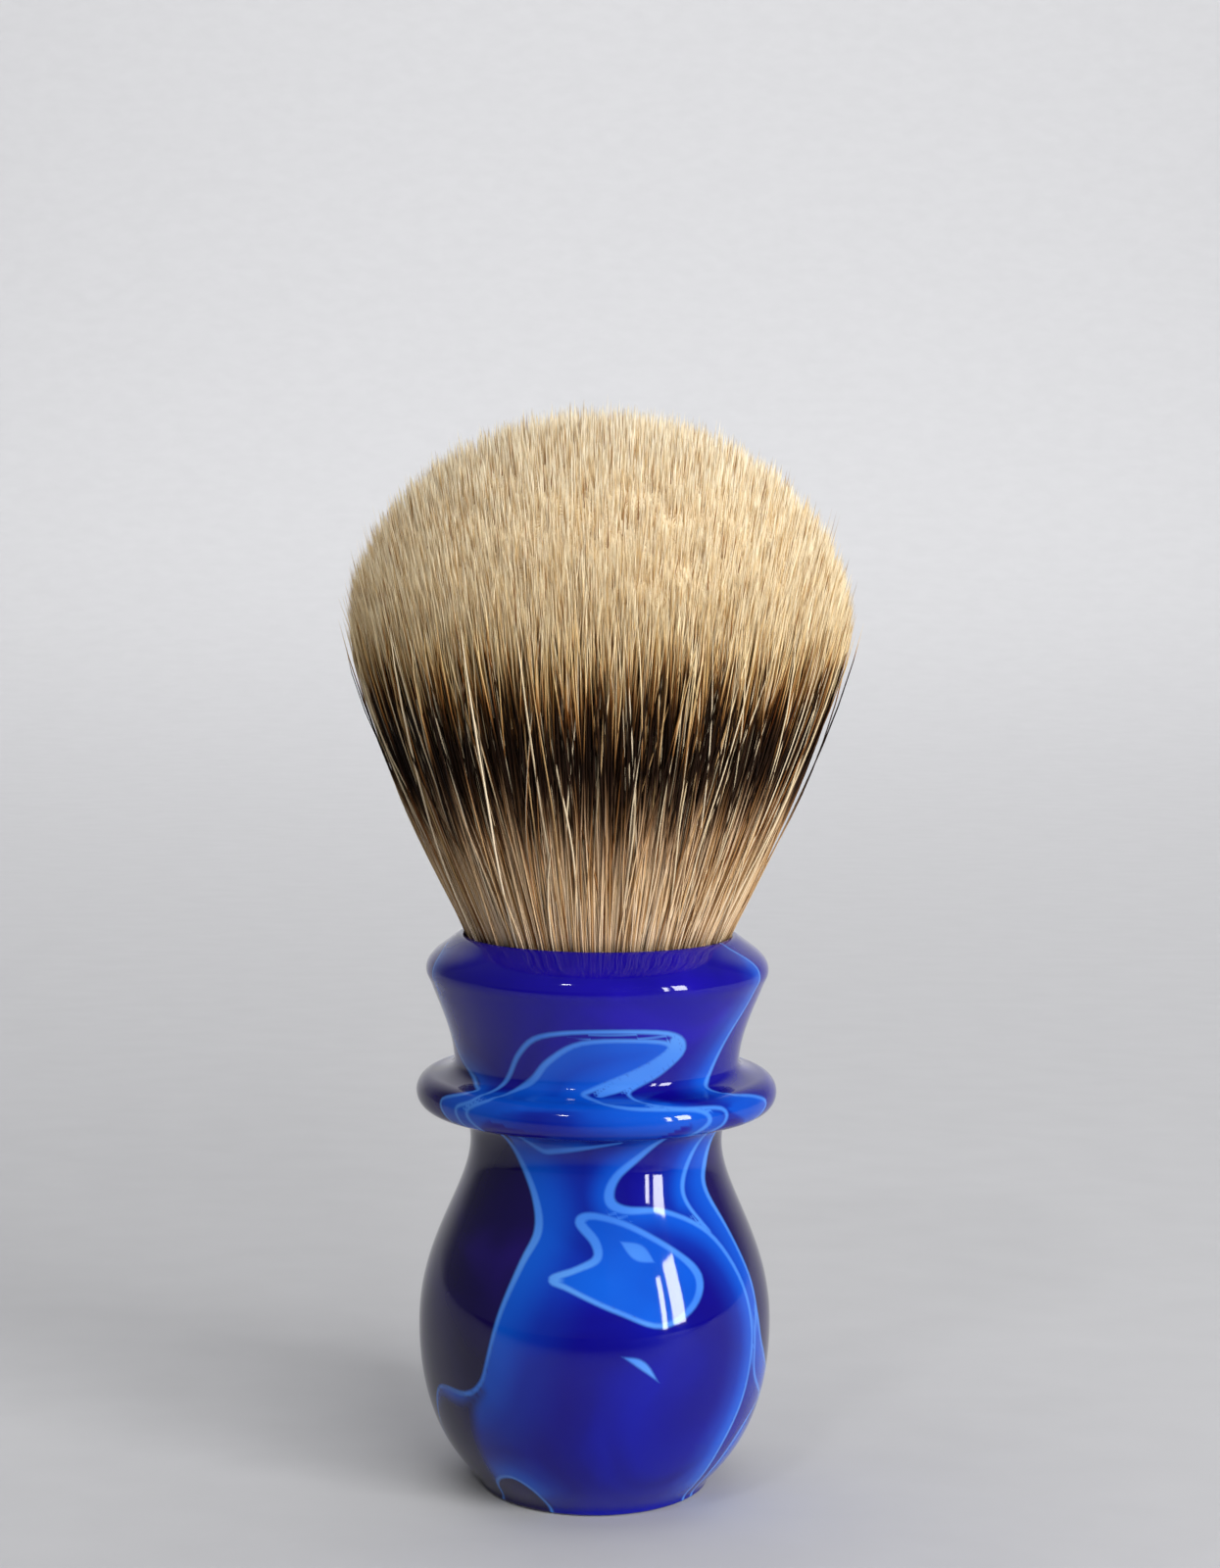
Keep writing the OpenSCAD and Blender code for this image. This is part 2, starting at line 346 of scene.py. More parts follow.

# %% [markdown]
# ## Marbling: where the colours lie
# Marbled resin is poured in two or three colours that are drawn out by a stick before they set. Each
# boundary is a long smooth line with a thin pale vein, and azure glows along one side of it and fades into
# the deep blue. A noise texture can't give such lines, so each is given as points: a vein is a few of them
# in (degrees round from the front, millimetres up, half width in millimetres). After the points stand the
# side on which the azure lies as the line is followed (1 is left, -1 is right, 0 is none), and how many
# millimetres it reaches. Many points of the front veins, the arrow, the lobes and the pools still follow
# lists that a mapping program printed, and are not a free drawing. The veins of the sides and the back
# are invented.

# %% Veins of the front
veins = {
    "left_collar": ([
        (-86, 55.5, 0.1), (-72, 54, 0.14), (-71, 51, 0.1), (-76, 47.5, 0.1), (-70, 44.5, 0.12),
        (-52, 42.5, 0.15), (-46, 42, 0.15), (-56, 41, 0.12), (-54, 39.5, 0.12), (-50, 38.5, 0.12)], 1, 3),
    "outer_collar": ([
        (-45, 38.5, 0.14), (-48, 40.5, 0.14), (-42, 41.5, 0.18), (-36, 43.5, 0.2), (-30, 46, 0.2),
        (-20, 48, 0.2), (0, 48.7, 0.16), (26, 48.3, 0.2), (34, 46.5, 0.25), (25, 44.3, 0.2),
        (12, 42.5, 0.13), (25, 41.5, 0.14), (42, 41, 0.17), (43, 39.5, 0.17), (37, 38.5, 0.14)], 0, 0),
    "inner_collar": ([
        (-38, 38.5, 0.16), (-43, 40.5, 0.16), (-34, 42, 0.18), (-25, 43.5, 0.3), (-18, 45.5, 0.25),
        (-5, 47.5, 0.2), (15, 47.7, 0.16), (28, 47, 0.2), (20, 45.2, 0.2), (0, 43, 0.2),
        (-4, 42.4, 0.2), (10, 41.7, 0.18), (32, 41.2, 0.18), (37, 40, 0.22), (31, 38.5, 0.2)], -1, 9),
    "thick_band": ([
        (29, 47.5, 0.4), (30, 46.3, 0.62), (20, 44.5, 0.6), (10, 43.3, 0.55), (2, 42.5, 0.35)], 0, 0),
    "neck_curl": ([
        (34, 38.5, 0.2), (20, 36, 0.26), (9, 34, 0.34), (6, 32, 0.45), (12, 31, 0.35),
        (30, 30.5, 0.2), (48, 28, 0.2), (58, 23.5, 0.2), (61, 18, 0.18), (58, 12, 0.13),
        (51, 6, 0.12), (50, 0, 0.12)], -1, 5),
    "under_ring": ([(-38, 38.5, 0.12), (-25, 36.5, 0.18), (-16, 36.5, 0.24), (10, 37.5, 0.1)], 1, 3),
    "left_vein": ([
        (-46, 38.5, 0.16), (-36, 35.5, 0.22), (-26, 32, 0.28), (-22, 29, 0.38), (-26, 26, 0.28),
        (-31, 21.5, 0.2), (-35, 16.5, 0.15), (-38, 14, 0.18), (-45, 12.5, 0.2), (-60, 12, 0.12),
        (-68, 8, 0.08), (-76, 1, -0.1)], 1, 9),
    "right_inner": ([
        (60, 38.5, 0.14), (48, 35.5, 0.2), (41, 33, 0.22), (41, 31, 0.18), (49, 28, 0.16)], -1, 4),
    "right_outer": ([
        (69, 38.5, 0.2), (58, 34.5, 0.3), (54, 32, 0.26), (60, 28, 0.18), (65, 23, 0.16),
        (66, 19, 0.16), (70, 15.5, 0.16), (84, 12, 0.14), (106, 14.5, 0.06)], -1, 7),
    "right_low": ([(65, 20, 0.14), (63, 16.5, 0.16), (66, 12.5, 0.16), (90, 7.5, 0.1)], 0, 0),
    "right_foot": ([(76, 10, 0.12), (63, 7.5, 0.18), (56, 3.5, 0.18), (57, 0, 0.16)], 1, 9),
    "right_collar": ([
        (60, 56, 0.08), (68, 53.5, 0.14), (66, 50.5, 0.15), (58, 47, 0.16), (50, 43.5, 0.2),
        (46, 42.2, 0.15), (60, 41.3, 0.14), (67, 40.3, 0.13), (62, 39, 0.1), (53, 38.5, 0.1)], -1, 4.5),
    "arrow_spot": ([(8, 28.5, -0.3), (16, 27.2, 0.75), (23, 26, -0.3)], 0, 0),
    "leaf": ([(8, 18, -0.15), (15, 17, 0.34), (21, 15, -0.15)], 0, 0),
    "foot_pool_edge": ([
        (-51, -0.5, 0.1), (-43, 3, 0.14), (-33, 4.2, 0.15), (-25, 3, 0.13), (-19, 0, 0.1)], 1, 5),
}
print(len(veins), "veins on the front")

# %% Veins of the sides and the back
veins.update({
    "back_tongue": ([
        (150, 38.4, 0.16), (147, 39.6, 0.16), (149, 41, 0.16), (154, 41.9, 0.2), (155, 43, 0.24),
        (157, 45, 0.24), (163, 47, 0.22), (172, 48.6, 0.2), (184, 49.2, 0.2), (193, 48.2, 0.26),
        (195, 46.4, 0.34), (189, 44.9, 0.36), (179, 44, 0.3), (172, 43, 0.24), (172, 42.3, 0.2),
        (180, 41.8, 0.18), (190, 41.2, 0.18), (194, 40.2, 0.18), (191, 38.6, 0.16)], -1, 8),
    "back_sweep": ([
        (126, 38.2, 0.16), (130, 36.4, 0.2), (138, 34.4, 0.24), (147, 32, 0.3), (151, 29.2, 0.34),
        (149, 26, 0.26), (145, 22.6, 0.2), (143, 18.6, 0.18), (146, 14.6, 0.16), (154, 11.2, 0.16),
        (166, 8.8, 0.2), (180, 8.4, 0.22), (192, 10, 0.2), (198, 12.8, 0.18)], 1, 9),
    "back_curl": ([
        (202, 38.2, 0.16), (197, 36.2, 0.2), (188, 34.8, 0.24), (181, 33, 0.3), (178, 30.8, 0.4),
        (182, 29, 0.36), (192, 28.6, 0.24), (204, 27.6, 0.2), (215, 25, 0.2), (222, 21, 0.18),
        (224, 16.5, 0.16), (221, 12, 0.14), (214, 8, 0.12), (208, 4, 0.12), (206, 0, 0.1)], -1, 5),
    "side_line": ([
        (118, 55.6, 0.1), (114, 53.6, 0.14), (113, 51, 0.12), (118, 48, 0.12), (125, 45.2, 0.14),
        (124, 43.2, 0.14), (117, 42.2, 0.14), (111, 41.2, 0.14), (112, 39.6, 0.12), (118, 38.4, 0.12)], 1, 4),
    "far_line": ([
        (222, 55.7, 0.1), (216, 54, 0.14), (214, 51.4, 0.14), (218, 48.4, 0.14), (227, 45.6, 0.16),
        (238, 43.4, 0.16), (247, 42, 0.14), (256, 41.1, 0.14), (260, 40, 0.14), (254, 38.6, 0.12)], -1, 4.5),
    "back_foot": ([
        (134, -0.5, 0.1), (138, 2.4, 0.14), (148, 4.6, 0.16), (160, 4.8, 0.16), (172, 3.4, 0.14),
        (178, 0, 0.1)], -1, 5),
    "far_curl": ([
        (262, 8, 0.04), (253, 9, 0.14), (244, 11.6, 0.18), (240, 15.6, 0.22), (243, 20, 0.26),
        (250, 23.6, 0.3), (257, 26.8, 0.26), (258, 30.4, 0.22), (252, 33.6, 0.18), (247, 36.4, 0.16),
        (250, 38.4, 0.14)], 1, 6),
    "back_leaf": ([
        (160, 21, -0.15), (164, 20.2, 0.24), (169, 19, 0.36), (174, 18.2, 0.2), (178, 17.8, -0.15)], 0, 0),
})
print(len(veins), "veins in all")

# %% [markdown]
# ## Marbling: closed shapes
# The arrow-shaped lobe is azure all over, inside its own vein. The near-black plum pools are closed lines
# as well, with how soft their edge is in millimetres. Where a pool ends at a vein, it follows the vein's
# points, so that no gap shows.

# %% Lobes and pools
arrow = [
    (-6, 30, 0.4), (0, 30.5, 0.28), (14, 29.5, 0.25), (30, 27, 0.25), (38, 24.5, 0.4), (34, 22, 0.3),
    (22, 20.5, 0.2), (8, 22, 0.18), (-8, 24, 0.2), (-14.5, 24.8, 0.3), (-6, 25.8, 0.26), (1, 26.8, 0.36),
    (0, 28.3, 0.4)]
azure_lobes = [
    ([(-42, 42.2), (-52, 42), (-56, 41), (-55, 39.4), (-50, 38.3), (-40, 38.3), (-36, 39.4), (-26, 40.8),
      (-8, 41.2), (14, 41), (26, 40.4), (30, 39.4), (26, 38.3), (38, 38.3), (43, 39.4), (43, 40.6),
      (36, 41.3), (16, 42.2), (-20, 42.4)], 0.7),
    ([(44, 40.8), (52, 41.6), (62, 41.2), (67, 40.4), (64, 39), (57, 38.4), (52, 39.4)], 0.5),
    ([(143, 41), (150, 42), (172, 42), (194, 41), (195, 39.6), (186, 39.6), (166, 40.6), (152, 39.8),
      (148, 38.4)], 0.6),
]


def edge_of(name, first=0):
    return [(degrees, up) for degrees, up, half_width in veins[name][0][first:]]


plum_pools = [
    (edge_of("left_vein") + [(-76, 8), (-96, 8), (-108, 20), (-104, 31), (-92, 38.4)], 0.25),
    ([(-37, 13.4), (-41, 11.4), (-43, 8.6), (-43.5, 5.8), (-42.5, 3.4), (-47, 0), (-60, -4), (-90, -4),
      (-104, 6), (-100, 14), (-80, 11), (-66, 9.8), (-60, 11.4), (-48, 11.6)], 1.0),
    (edge_of("right_outer") + [(108, 24), (104, 32), (92, 38.4)], 0.25),
    (edge_of("foot_pool_edge") + [(-30, -6)], 0.25),
    ([(-50, 38.4), (-54, 39.4), (-56, 40.4), (-55, 41.2), (-49, 41.9), (-47, 42.2), (-58, 43.2),
      (-70, 43.4), (-84, 42.8), (-102, 41.4), (-108, 39.6), (-98, 38.4)], 0.25),
    (edge_of("far_curl", 1) + [(238, 38.4), (226, 34), (224, 27), (230, 18), (238, 10)], 0.4),
    (edge_of("back_foot") + [(156, -6)], 0.25),
]
# Painted violet glow, not pigment: soft patches under the ring's lower edge, front and back, and a wide band
# round the collar and rim, where reflected light tints the resin. Each is (degrees, mm up), width, height.
painted_glow_places = [((0, 38.9), 62, 1.6), ((0, 52), 400, 9.5), ((180, 38.9), 50, 1.6)]
print(len(azure_lobes) + 1, "azure lobes,", len(plum_pools), "plum pools")

# %% [markdown]
# ## Marbling: distances on the surface
# The lines are turned into numbers at every vertex, stored as attributes: how much azure and plum it has,
# how much painted violet glow, how wide the nearest vein is, and how far off it lies. That distance has a
# sign, plus on one side of the vein and minus on the other, because a signed distance runs evenly through
# zero, so the shader finds the middle of a thin vein between two vertices. Halfway between two veins the
# sign can flip too; the plain distance, which is large there, tells that from a vein. A height is turned
# into a length along the outline first, so that a line keeps its width where it crosses the ring.

# %% Measure along the outline
outside_length = np.concatenate([[0], np.cumsum(np.hypot(*np.diff(outside_up, axis=0).T))])
co = np.array([v.co for v in handle.data.vertices]) / mm
vertex_r = np.hypot(co[:, 0], co[:, 1])
vertex_degrees = np.degrees(np.arctan2(co[:, 0], -co[:, 1]))
nearest = np.array([np.argmin((outside_up[:, 0] - r) ** 2 + (outside_up[:, 1] - z) ** 2)
                    for r, z in zip(vertex_r, co[:, 2])])
vertex_up = outside_length[nearest]
under_foot = co[:, 2] < 0.001
vertex_up[under_foot] = vertex_r[under_foot] - foot_r
print("outline length:", round(outside_length[-1], 1), "mm")


# %% Distance to one drawn line
def on_surface(points, closed):
    line = through(points, closed, per_span=5)
    line[:, 1] = np.where(line[:, 1] < 0, line[:, 1],
                          np.interp(line[:, 1], outside_up[:, 1], outside_length))
    return line


def measure(line, margin=10):
    """For the vertices near a line: their numbers, the distance to it and how far inside its width they
    are in mm, the side they lie on (1 is left), the distance from its ends, and whether it encloses them."""
    middle = (line[:, 0].min() + line[:, 0].max()) / 2
    turn = (vertex_degrees - middle + 180) % 360 - 180
    reach = np.ptp(line[:, 0]) / 2 + np.degrees(margin / foot_r)
    near = np.nonzero((np.abs(turn) < reach) & (vertex_up > line[:, 1].min() - margin)
                      & (vertex_up < line[:, 1].max() + margin))[0]
    turn, up, scale = turn[near], vertex_up[near], np.radians(vertex_r[near])
    best = np.full(len(near), 1e9)
    side = np.zeros(len(near))
    half = np.zeros(len(near))
    passed = np.zeros(len(near))
    inside = np.zeros(len(near), bool)
    length = 0.0
    for a, b in zip(line[:-1], line[1:]):
        ax, bx = (a[0] - middle - turn) * scale, (b[0] - middle - turn) * scale
        ay, by = a[1] - up, b[1] - up
        ex, ey = bx - ax, by - ay
        step = np.sqrt(ex * ex + ey * ey) + 1e-9
        along = np.clip(-(ax * ex + ay * ey) / step ** 2, 0, 1)
        far = (ax + along * ex) ** 2 + (ay + along * ey) ** 2
        closer = far < best
        best = np.where(closer, far, best)
        side = np.where(closer, np.sign(ax * ey - ay * ex), side)
        passed = np.where(closer, length + along * step, passed)
        if len(a) > 2:
            half = np.where(closer, a[2] + along * (b[2] - a[2]), half)
        length = length + step
        crosses = (ay > 0) != (by > 0)
        level = np.where(crosses, ax - ay * ex / np.where(ey == 0, 1e-9, ey), -1)
        inside ^= crosses & (level > 0)
    far = np.sqrt(best)
    return near, far, half - far, side, np.minimum(passed, length - passed), inside


# %% Azure, plum, violet and veins at every vertex
nowhere = 5.0
end_fade = 4
lobe_azure = 0.85
azure = np.zeros(len(co))
plum = np.zeros(len(co))
vein = {"within": np.full(len(co), -nowhere), "across": np.full(len(co), nowhere),
        "far": np.full(len(co), nowhere)}


def keep_vein(near, far, within, side):
    """Where this line is the best one so far, it gives the vertices their distances."""
    won = within > vein["within"][near]
    vein["within"][near[won]] = within[won]
    vein["across"][near[won]] = (far * side)[won]
    vein["far"][near[won]] = far[won]


for points, azure_side, reach in veins.values():
    near, far, within, side, from_end, inside = measure(on_surface(points, False))
    keep_vein(near, far, within, side)
    if azure_side:
        glow = np.clip(1 - far / reach, 0, 1) * (side == azure_side) * np.clip(from_end / end_fade, 0, 1)
        azure[near] = np.maximum(azure[near], glow)
near, far, within, side, from_end, inside = measure(on_surface(arrow, True))
keep_vein(near, far, within, side)
azure[near] = np.maximum(azure[near], np.where(inside, 1.0, 0.0))
for points, soft in azure_lobes:
    near, far, within, side, from_end, inside = measure(on_surface(points, True))
    depth = 0.5 + np.where(inside, far, -far) / (2 * soft)
    azure[near] = np.maximum(azure[near], np.clip(depth, 0, lobe_azure))
for points, soft in plum_pools:
    near, far, within, side, from_end, inside = measure(on_surface(points, True))
    depth = 0.5 + np.where(inside, far, -far) / (2 * soft)
    plum[near] = np.maximum(plum[near], np.clip(depth, 0, 1))
# Painted violet glow from reflected light: a soft patch round each place.
painted_violet_glow = np.zeros(len(co))
for (degrees, up), wide, tall in painted_glow_places:
    turn = (vertex_degrees - degrees + 180) % 360 - 180
    painted_violet_glow = np.maximum(painted_violet_glow, np.exp(-(turn / wide) ** 2 - ((co[:, 2] - up) / tall) ** 2))


def store(piece, name, values):
    attribute = piece.data.attributes.new(name, "FLOAT", "POINT")
    attribute.data.foreach_set("value", np.asarray(values, np.float32))


store(handle, "azure", azure)
store(handle, "plum", plum)
store(handle, "painted_violet_glow", painted_violet_glow)
store(handle, "vein_across", vein["across"])
store(handle, "vein_far", vein["far"])
store(handle, "vein_half", vein["within"] + vein["far"])
print("share of the surface in azure:", round(float((azure > 0.5).mean()), 2))

# %% [markdown]
# ## Marbled resin
# Cast polyester resin, turned on a lathe and buffed to a high gloss. The colour lies in the resin, so the
# surface is one clear polish over deep colour: a sharp reflection (roughness under 0.1) and an IOR of 1.52.
# The pale pigment of a vein clouds out into the resin round it, so a vein has a soft edge. Buffing leaves
# fine swirls, which show as a small change in roughness.

# %% Material of the handle
resin, tree = new_material("cast_marbled_resin_buffed")
place = add(tree, "TexCoord").outputs["Object"]
cloud = add(tree, "TexNoise", {"Vector": place, "Scale": 1 / (14 * mm), "Detail": 2.0, "Distortion": 0.8})
shades = {
    "deep": [(0.30, "#080168"), (0.50, "#060370"), (0.68, "#050a84")],
    "bright": [(0.30, "#04248c"), (0.52, "#052c96"), (0.70, "#0736a2")],
    "clear": [(0.30, "#0442aa"), (0.52, "#0649b4"), (0.70, "#0850bc")],
    "dark": [(0.30, "#0c0430"), (0.55, "#120644"), (0.75, "#1e0c60")],
    "painted_glow_purple": [(0.30, "#0c0474"), (0.60, "#120686"), (0.75, "#1a0a9a")],
    "milk": [(0.30, "#2c66c2"), (0.55, "#3e78cc"), (0.75, "#4e88d2")],
}
shade_of = {name: add(tree, "ValToRGB", {"Fac": cloud.outputs["Fac"]}, stops).outputs[0]
            for name, stops in shades.items()}
# The purple mixed in first is painted glow from reflected light, not a colour of the resin.
colour = shade_of["deep"]
for attribute, low, high, shade_name in (("painted_violet_glow", 0.1, 1.0, "painted_glow_purple"), ("azure", 0.0, 0.85, "bright"),
                                         ("azure", 0.5, 1.0, "clear"), ("plum", 0.0, 1.0, "dark")):
    value = add(tree, "Attribute", attribute_name=attribute).outputs["Fac"]
    limits = {"Value": value, "From Min": low, "From Max": high}
    share = add(tree, "MapRange", limits, interpolation_type="SMOOTHSTEP").outputs["Result"]
    colours = {"Factor": share, 6: colour, 7: shade_of[shade_name]}
    colour = add(tree, "Mix", colours, data_type="RGBA").outputs[2]
slack, edge_outside, edge_inside = 0.14, -0.22, 0.16
across, vein_far, half_wide = (add(tree, "Attribute", attribute_name=name).outputs["Fac"]
                               for name in ("vein_across", "vein_far", "vein_half"))
plain = add(tree, "Math", {0: across}, operation="ABSOLUTE").outputs[0]
off = add(tree, "Math", {0: vein_far, 1: slack}, operation="SUBTRACT").outputs[0]
off = add(tree, "Math", {0: plain, 1: off}, operation="MAXIMUM").outputs[0]
inner = add(tree, "Math", {0: half_wide, 1: off}, operation="SUBTRACT").outputs[0]
wide = add(tree, "Math", {0: half_wide, 1: vein_far}, operation="SUBTRACT").outputs[0]
inner = add(tree, "Math", {0: inner, 1: wide}, operation="MAXIMUM").outputs[0]
limits = {"Value": inner, "From Min": edge_outside, "From Max": edge_inside}
is_vein = add(tree, "MapRange", limits, interpolation_type="SMOOTHSTEP").outputs["Result"]
colour = add(tree, "Mix", {"Factor": is_vein, 6: colour, 7: shade_of["milk"]}, data_type="RGBA").outputs[2]
swirl = add(tree, "TexNoise", {"Vector": place, "Scale": 1 / (1.5 * mm), "Detail": 4.0})
polish = add(tree, "MapRange", {"Value": swirl.outputs["Fac"], "To Min": 0.03, "To Max": 0.08})
finish_material(tree, Base_Color=colour, Roughness=polish.outputs["Result"], IOR=1.52,
                Specular_IOR_Level=0.34)
handle.data.materials.append(resin)
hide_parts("handle")
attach(handle, "handle_set")
print("resin nodes:", len(tree.nodes))

# %% [markdown]
# ## A flat map for the handle
# A map that unrolls the outline like a label (round the handle one way, along the outline the other)
# gives the veins the same room all over, so that the handle's colours can be baked onto it.

# %% Unroll the handle
map_room = 1.01
map_margin = 0.01


def unroll(piece, round_turn, along):
    """Writes a map from each vertex's turn (0 to 1) and place along (0 to 1), mended at the seam."""
    mesh = piece.data
    corner_vertex = np.zeros(len(mesh.loops), np.int64)
    mesh.loops.foreach_get("vertex_index", corner_vertex)
    first = np.zeros(len(mesh.polygons), np.int64)
    count = np.zeros(len(mesh.polygons), np.int64)
    mesh.polygons.foreach_get("loop_start", first)
    mesh.polygons.foreach_get("loop_total", count)
    face = np.repeat(np.arange(len(first)), count)
    u = round_turn[corner_vertex]
    most = np.maximum.reduceat(u, first)
    u = np.where(most[face] - u > 0.5, u + 1, u)
    layer = mesh.uv_layers.new(name="OFBake")
    layer.data.foreach_set("uv", np.stack([u / map_room, along[corner_vertex]], 1).astype(np.float32).ravel())


outline_length = np.concatenate([[0], np.cumsum(np.hypot(*np.diff(handle_outline, axis=0).T))])
nearest = np.array([np.argmin((handle_outline[:, 0] - r) ** 2 + (handle_outline[:, 1] - z) ** 2)
                    for r, z in zip(vertex_r, co[:, 2])])
place_on_outline = outline_length[nearest] / outline_length[-1]
unroll(handle, (vertex_degrees + 180) / 360, map_margin + (1 - 2 * map_margin) * place_on_outline)
print("handle map written")

# %% [markdown]
# ## Inside the socket
# The plug, its adhesive, the binding thread and the bound hair are the CAD's own pieces. They are hidden
# once the brush is glued, but each still gets the material it is made of.

# %% Materials of the inner pieces
def dress(node_name, material):
    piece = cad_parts[node_name]
    piece.data.materials.clear()
    piece.data.materials.append(material)
    print(node_name, "is", material.name)


adhesive, tree = new_material("cured_epoxy_adhesive")
place = add(tree, "TexCoord").outputs["Object"]
bubbles = add(tree, "TexVoronoi", {"Vector": place, "Scale": 1 / (1.2 * mm)})
tint = add(tree, "ValToRGB", {"Fac": bubbles.outputs["Distance"]}, [
    (0.0, "#e0c890"), (0.2, "#c8a860"), (1.0, "#c09a50")]).outputs[0]
finish_material(tree, Base_Color=tint, Roughness=0.25, IOR=1.55)
dress("setting_epoxy", adhesive)

plug, tree = new_material("cast_rosin_plug")
place = add(tree, "TexCoord").outputs["Object"]
grain = add(tree, "TexNoise", {"Vector": place, "Scale": 1 / (2 * mm), "Detail": 5.0})
tint = add(tree, "ValToRGB", {"Fac": grain.outputs["Fac"]}, [(0.3, "#6a4424"), (0.7, "#8a6038")]).outputs[0]
finish_material(tree, Base_Color=tint, Roughness=0.5, IOR=1.54)
dress("knot_plug", plug)

thread, tree = new_material("waxed_linen_thread_wound")
place = add(tree, "TexCoord").outputs["Object"]
twist = add(tree, "Mapping", {"Vector": place, "Rotation": (0.5, 0.5, 0)})
fibres = add(tree, "TexWave", {"Vector": twist.outputs[0], "Scale": 1 / (1.2 * mm), "Distortion": 2.0})
tint = add(tree, "ValToRGB", {"Fac": fibres.outputs["Fac"]}, [(0.2, "#c8bc98"), (0.8, "#e6dcc0")]).outputs[0]
finish_material(tree, Base_Color=tint, Roughness=0.6)
dress("binding_thread", thread)

# %% [markdown]
# ## Badger hair
# Silvertip badger hair has a tan shaft, one near-black band and a cream tip. A few hairs in each knot
# have no band. The colour depends on two things only: the place along the hair and which hair it is. So
# each hair carries both in its own map: V is the place along, and U is the hair's tone. The map also keeps
# the colours right when the hair bends. A hair's sheen is low, because its scales scatter the light.

# %% Material of the hair
band_low, band_high, pale_share = 0.28, 0.45, 0.15
hair_material, tree = new_material("silvertip_badger_hair")
hair_map = add(tree, "UVMap", uv_map="OFBake")
apart = add(tree, "SeparateXYZ", {"Vector": hair_map.outputs["UV"]})
tone, along = apart.outputs["X"], apart.outputs["Y"]
banded = add(tree, "ValToRGB", {"Fac": along}, [
    (0.00, "#e2caac"), (0.14, "#dcc2a0"), (0.21, "#c2a484"), (0.25, "#7c6046"), (band_low + 0.02, "#2c1c12"),
    (band_high - 0.05, "#20140c"), (band_high, "#4a3018"), (0.50, "#8c6238"), (0.56, "#c49e6c"),
    (0.64, "#e6cfa0"), (0.76, "#f4e4c2"), (1.00, "#fdf4de")]).outputs[0]
pale = add(tree, "ValToRGB", {"Fac": along}, [
    (0.0, "#e4d2b6"), (0.30, "#dccaac"), (0.50, "#e4d2b2"), (0.75, "#f0dfbc"), (1.0, "#fbf1da")]).outputs[0]
is_pale = add(tree, "MapRange", {"Value": tone, "From Min": pale_share + 0.02, "From Max": pale_share})
colours = {"Factor": is_pale.outputs["Result"], 6: banded, 7: pale}
hair_colour = add(tree, "Mix", colours, data_type="RGBA").outputs[2]
tone_steps = 97.0
number = add(tree, "Math", {0: tone, 1: tone_steps}, operation="MULTIPLY")
number = add(tree, "Math", {0: number.outputs[0]}, operation="FLOOR")
chance = add(tree, "TexWhiteNoise", {"W": number.outputs[0]}, noise_dimensions="1D")
shade = add(tree, "ValToRGB", {"Fac": chance.outputs["Value"]}, [
    (0.0, "#8a6038"), (0.18, "#d8c2a0"), (0.42, "#f3ecdf"), (1.0, "#ffffff")]).outputs[0]
tinted = add(tree, "Mix", {"Factor": 1.0, 6: hair_colour, 7: shade}, data_type="RGBA", blend_type="MULTIPLY")
finish_material(tree, Base_Color=tinted.outputs[2], Roughness=0.6, IOR=1.55, Specular_IOR_Level=0.1)
print("hair nodes:", len(tree.nodes))

# %% [markdown]
# ## How the hairs run
# All the hairs leave the socket side by side and fan out. A hair near the edge of the knot follows the
# outside of the fan, and one further in keeps the same share of the radius all the way up. The tips end
# on a dome. These two rules are `fan_radius` and `dome_height`.

# %% Shape of the fan and the dome
spread = bloom_r - root_r
rise = bloom_z - mouth_z
fan_line = np.concatenate([[(root_r, mouth_z)], curve(
    (root_r, mouth_z), (root_r + spread * 0.43, mouth_z + rise * 0.335),
    (root_r + spread * 0.86, mouth_z + rise * 0.72), (bloom_r, bloom_z), 80)])
tip_slope = 0.27
root_slope = 0.42


def fan_radius(z):
    inside = np.interp(z, fan_line[:, 1], fan_line[:, 0])
    above = np.maximum(z - bloom_z, 0) * tip_slope
    below = np.minimum(z - mouth_z, 0) * root_slope
    return inside + above + below


def dome_height(share):
    """Height at which a hair at this share of the radius meets the dome of tips."""
    z = np.full(np.shape(share), bloom_z)
    for _ in range(30):
        r = np.minimum(share * fan_radius(z) / bloom_r, 1)
        z = 0.5 * z + 0.5 * (bloom_z + (top_z - bloom_z) * np.sqrt(1 - r * r))
    return z


print("a hair half way out ends at", round(float(dome_height(np.array([0.5]))[0]) / mm, 1), "mm")

# %% [markdown]
# ## How the hairs gather
# Combed hair never lies evenly: neighbours lean together into small tufts. A few sine waves in random
# directions, added up, push each tip sideways by a smooth amount, so tips gather where the push points
# inwards. A second sum of waves round the knot raises and lowers the top of the dark band.

# %% Tufts and the ragged band
rng = np.random.default_rng(26)
tuft_size = 2.2 * mm
wave_count = 16
wave_way = rng.uniform(0, 2 * math.pi, wave_count)
push_way = rng.uniform(0, 2 * math.pi, wave_count)
wave_start = rng.uniform(0, 2 * math.pi, wave_count)
wave_length = tuft_size * rng.uniform(0.6, 2.2, wave_count)
band_waves = rng.integers(5, 90, 12)
band_starts = rng.uniform(0, 2 * math.pi, 12)


def tuft_push(x, y):
    """A smooth random push in x and y, about 1 in size, that repeats every few millimetres."""
    across = x[..., None] * np.cos(wave_way) + y[..., None] * np.sin(wave_way)
    wave = np.sin(2 * math.pi * across / wave_length + wave_start)
    return np.stack([(wave * np.cos(push_way)).sum(-1), (wave * np.sin(push_way)).sum(-1)], -1) * 0.35


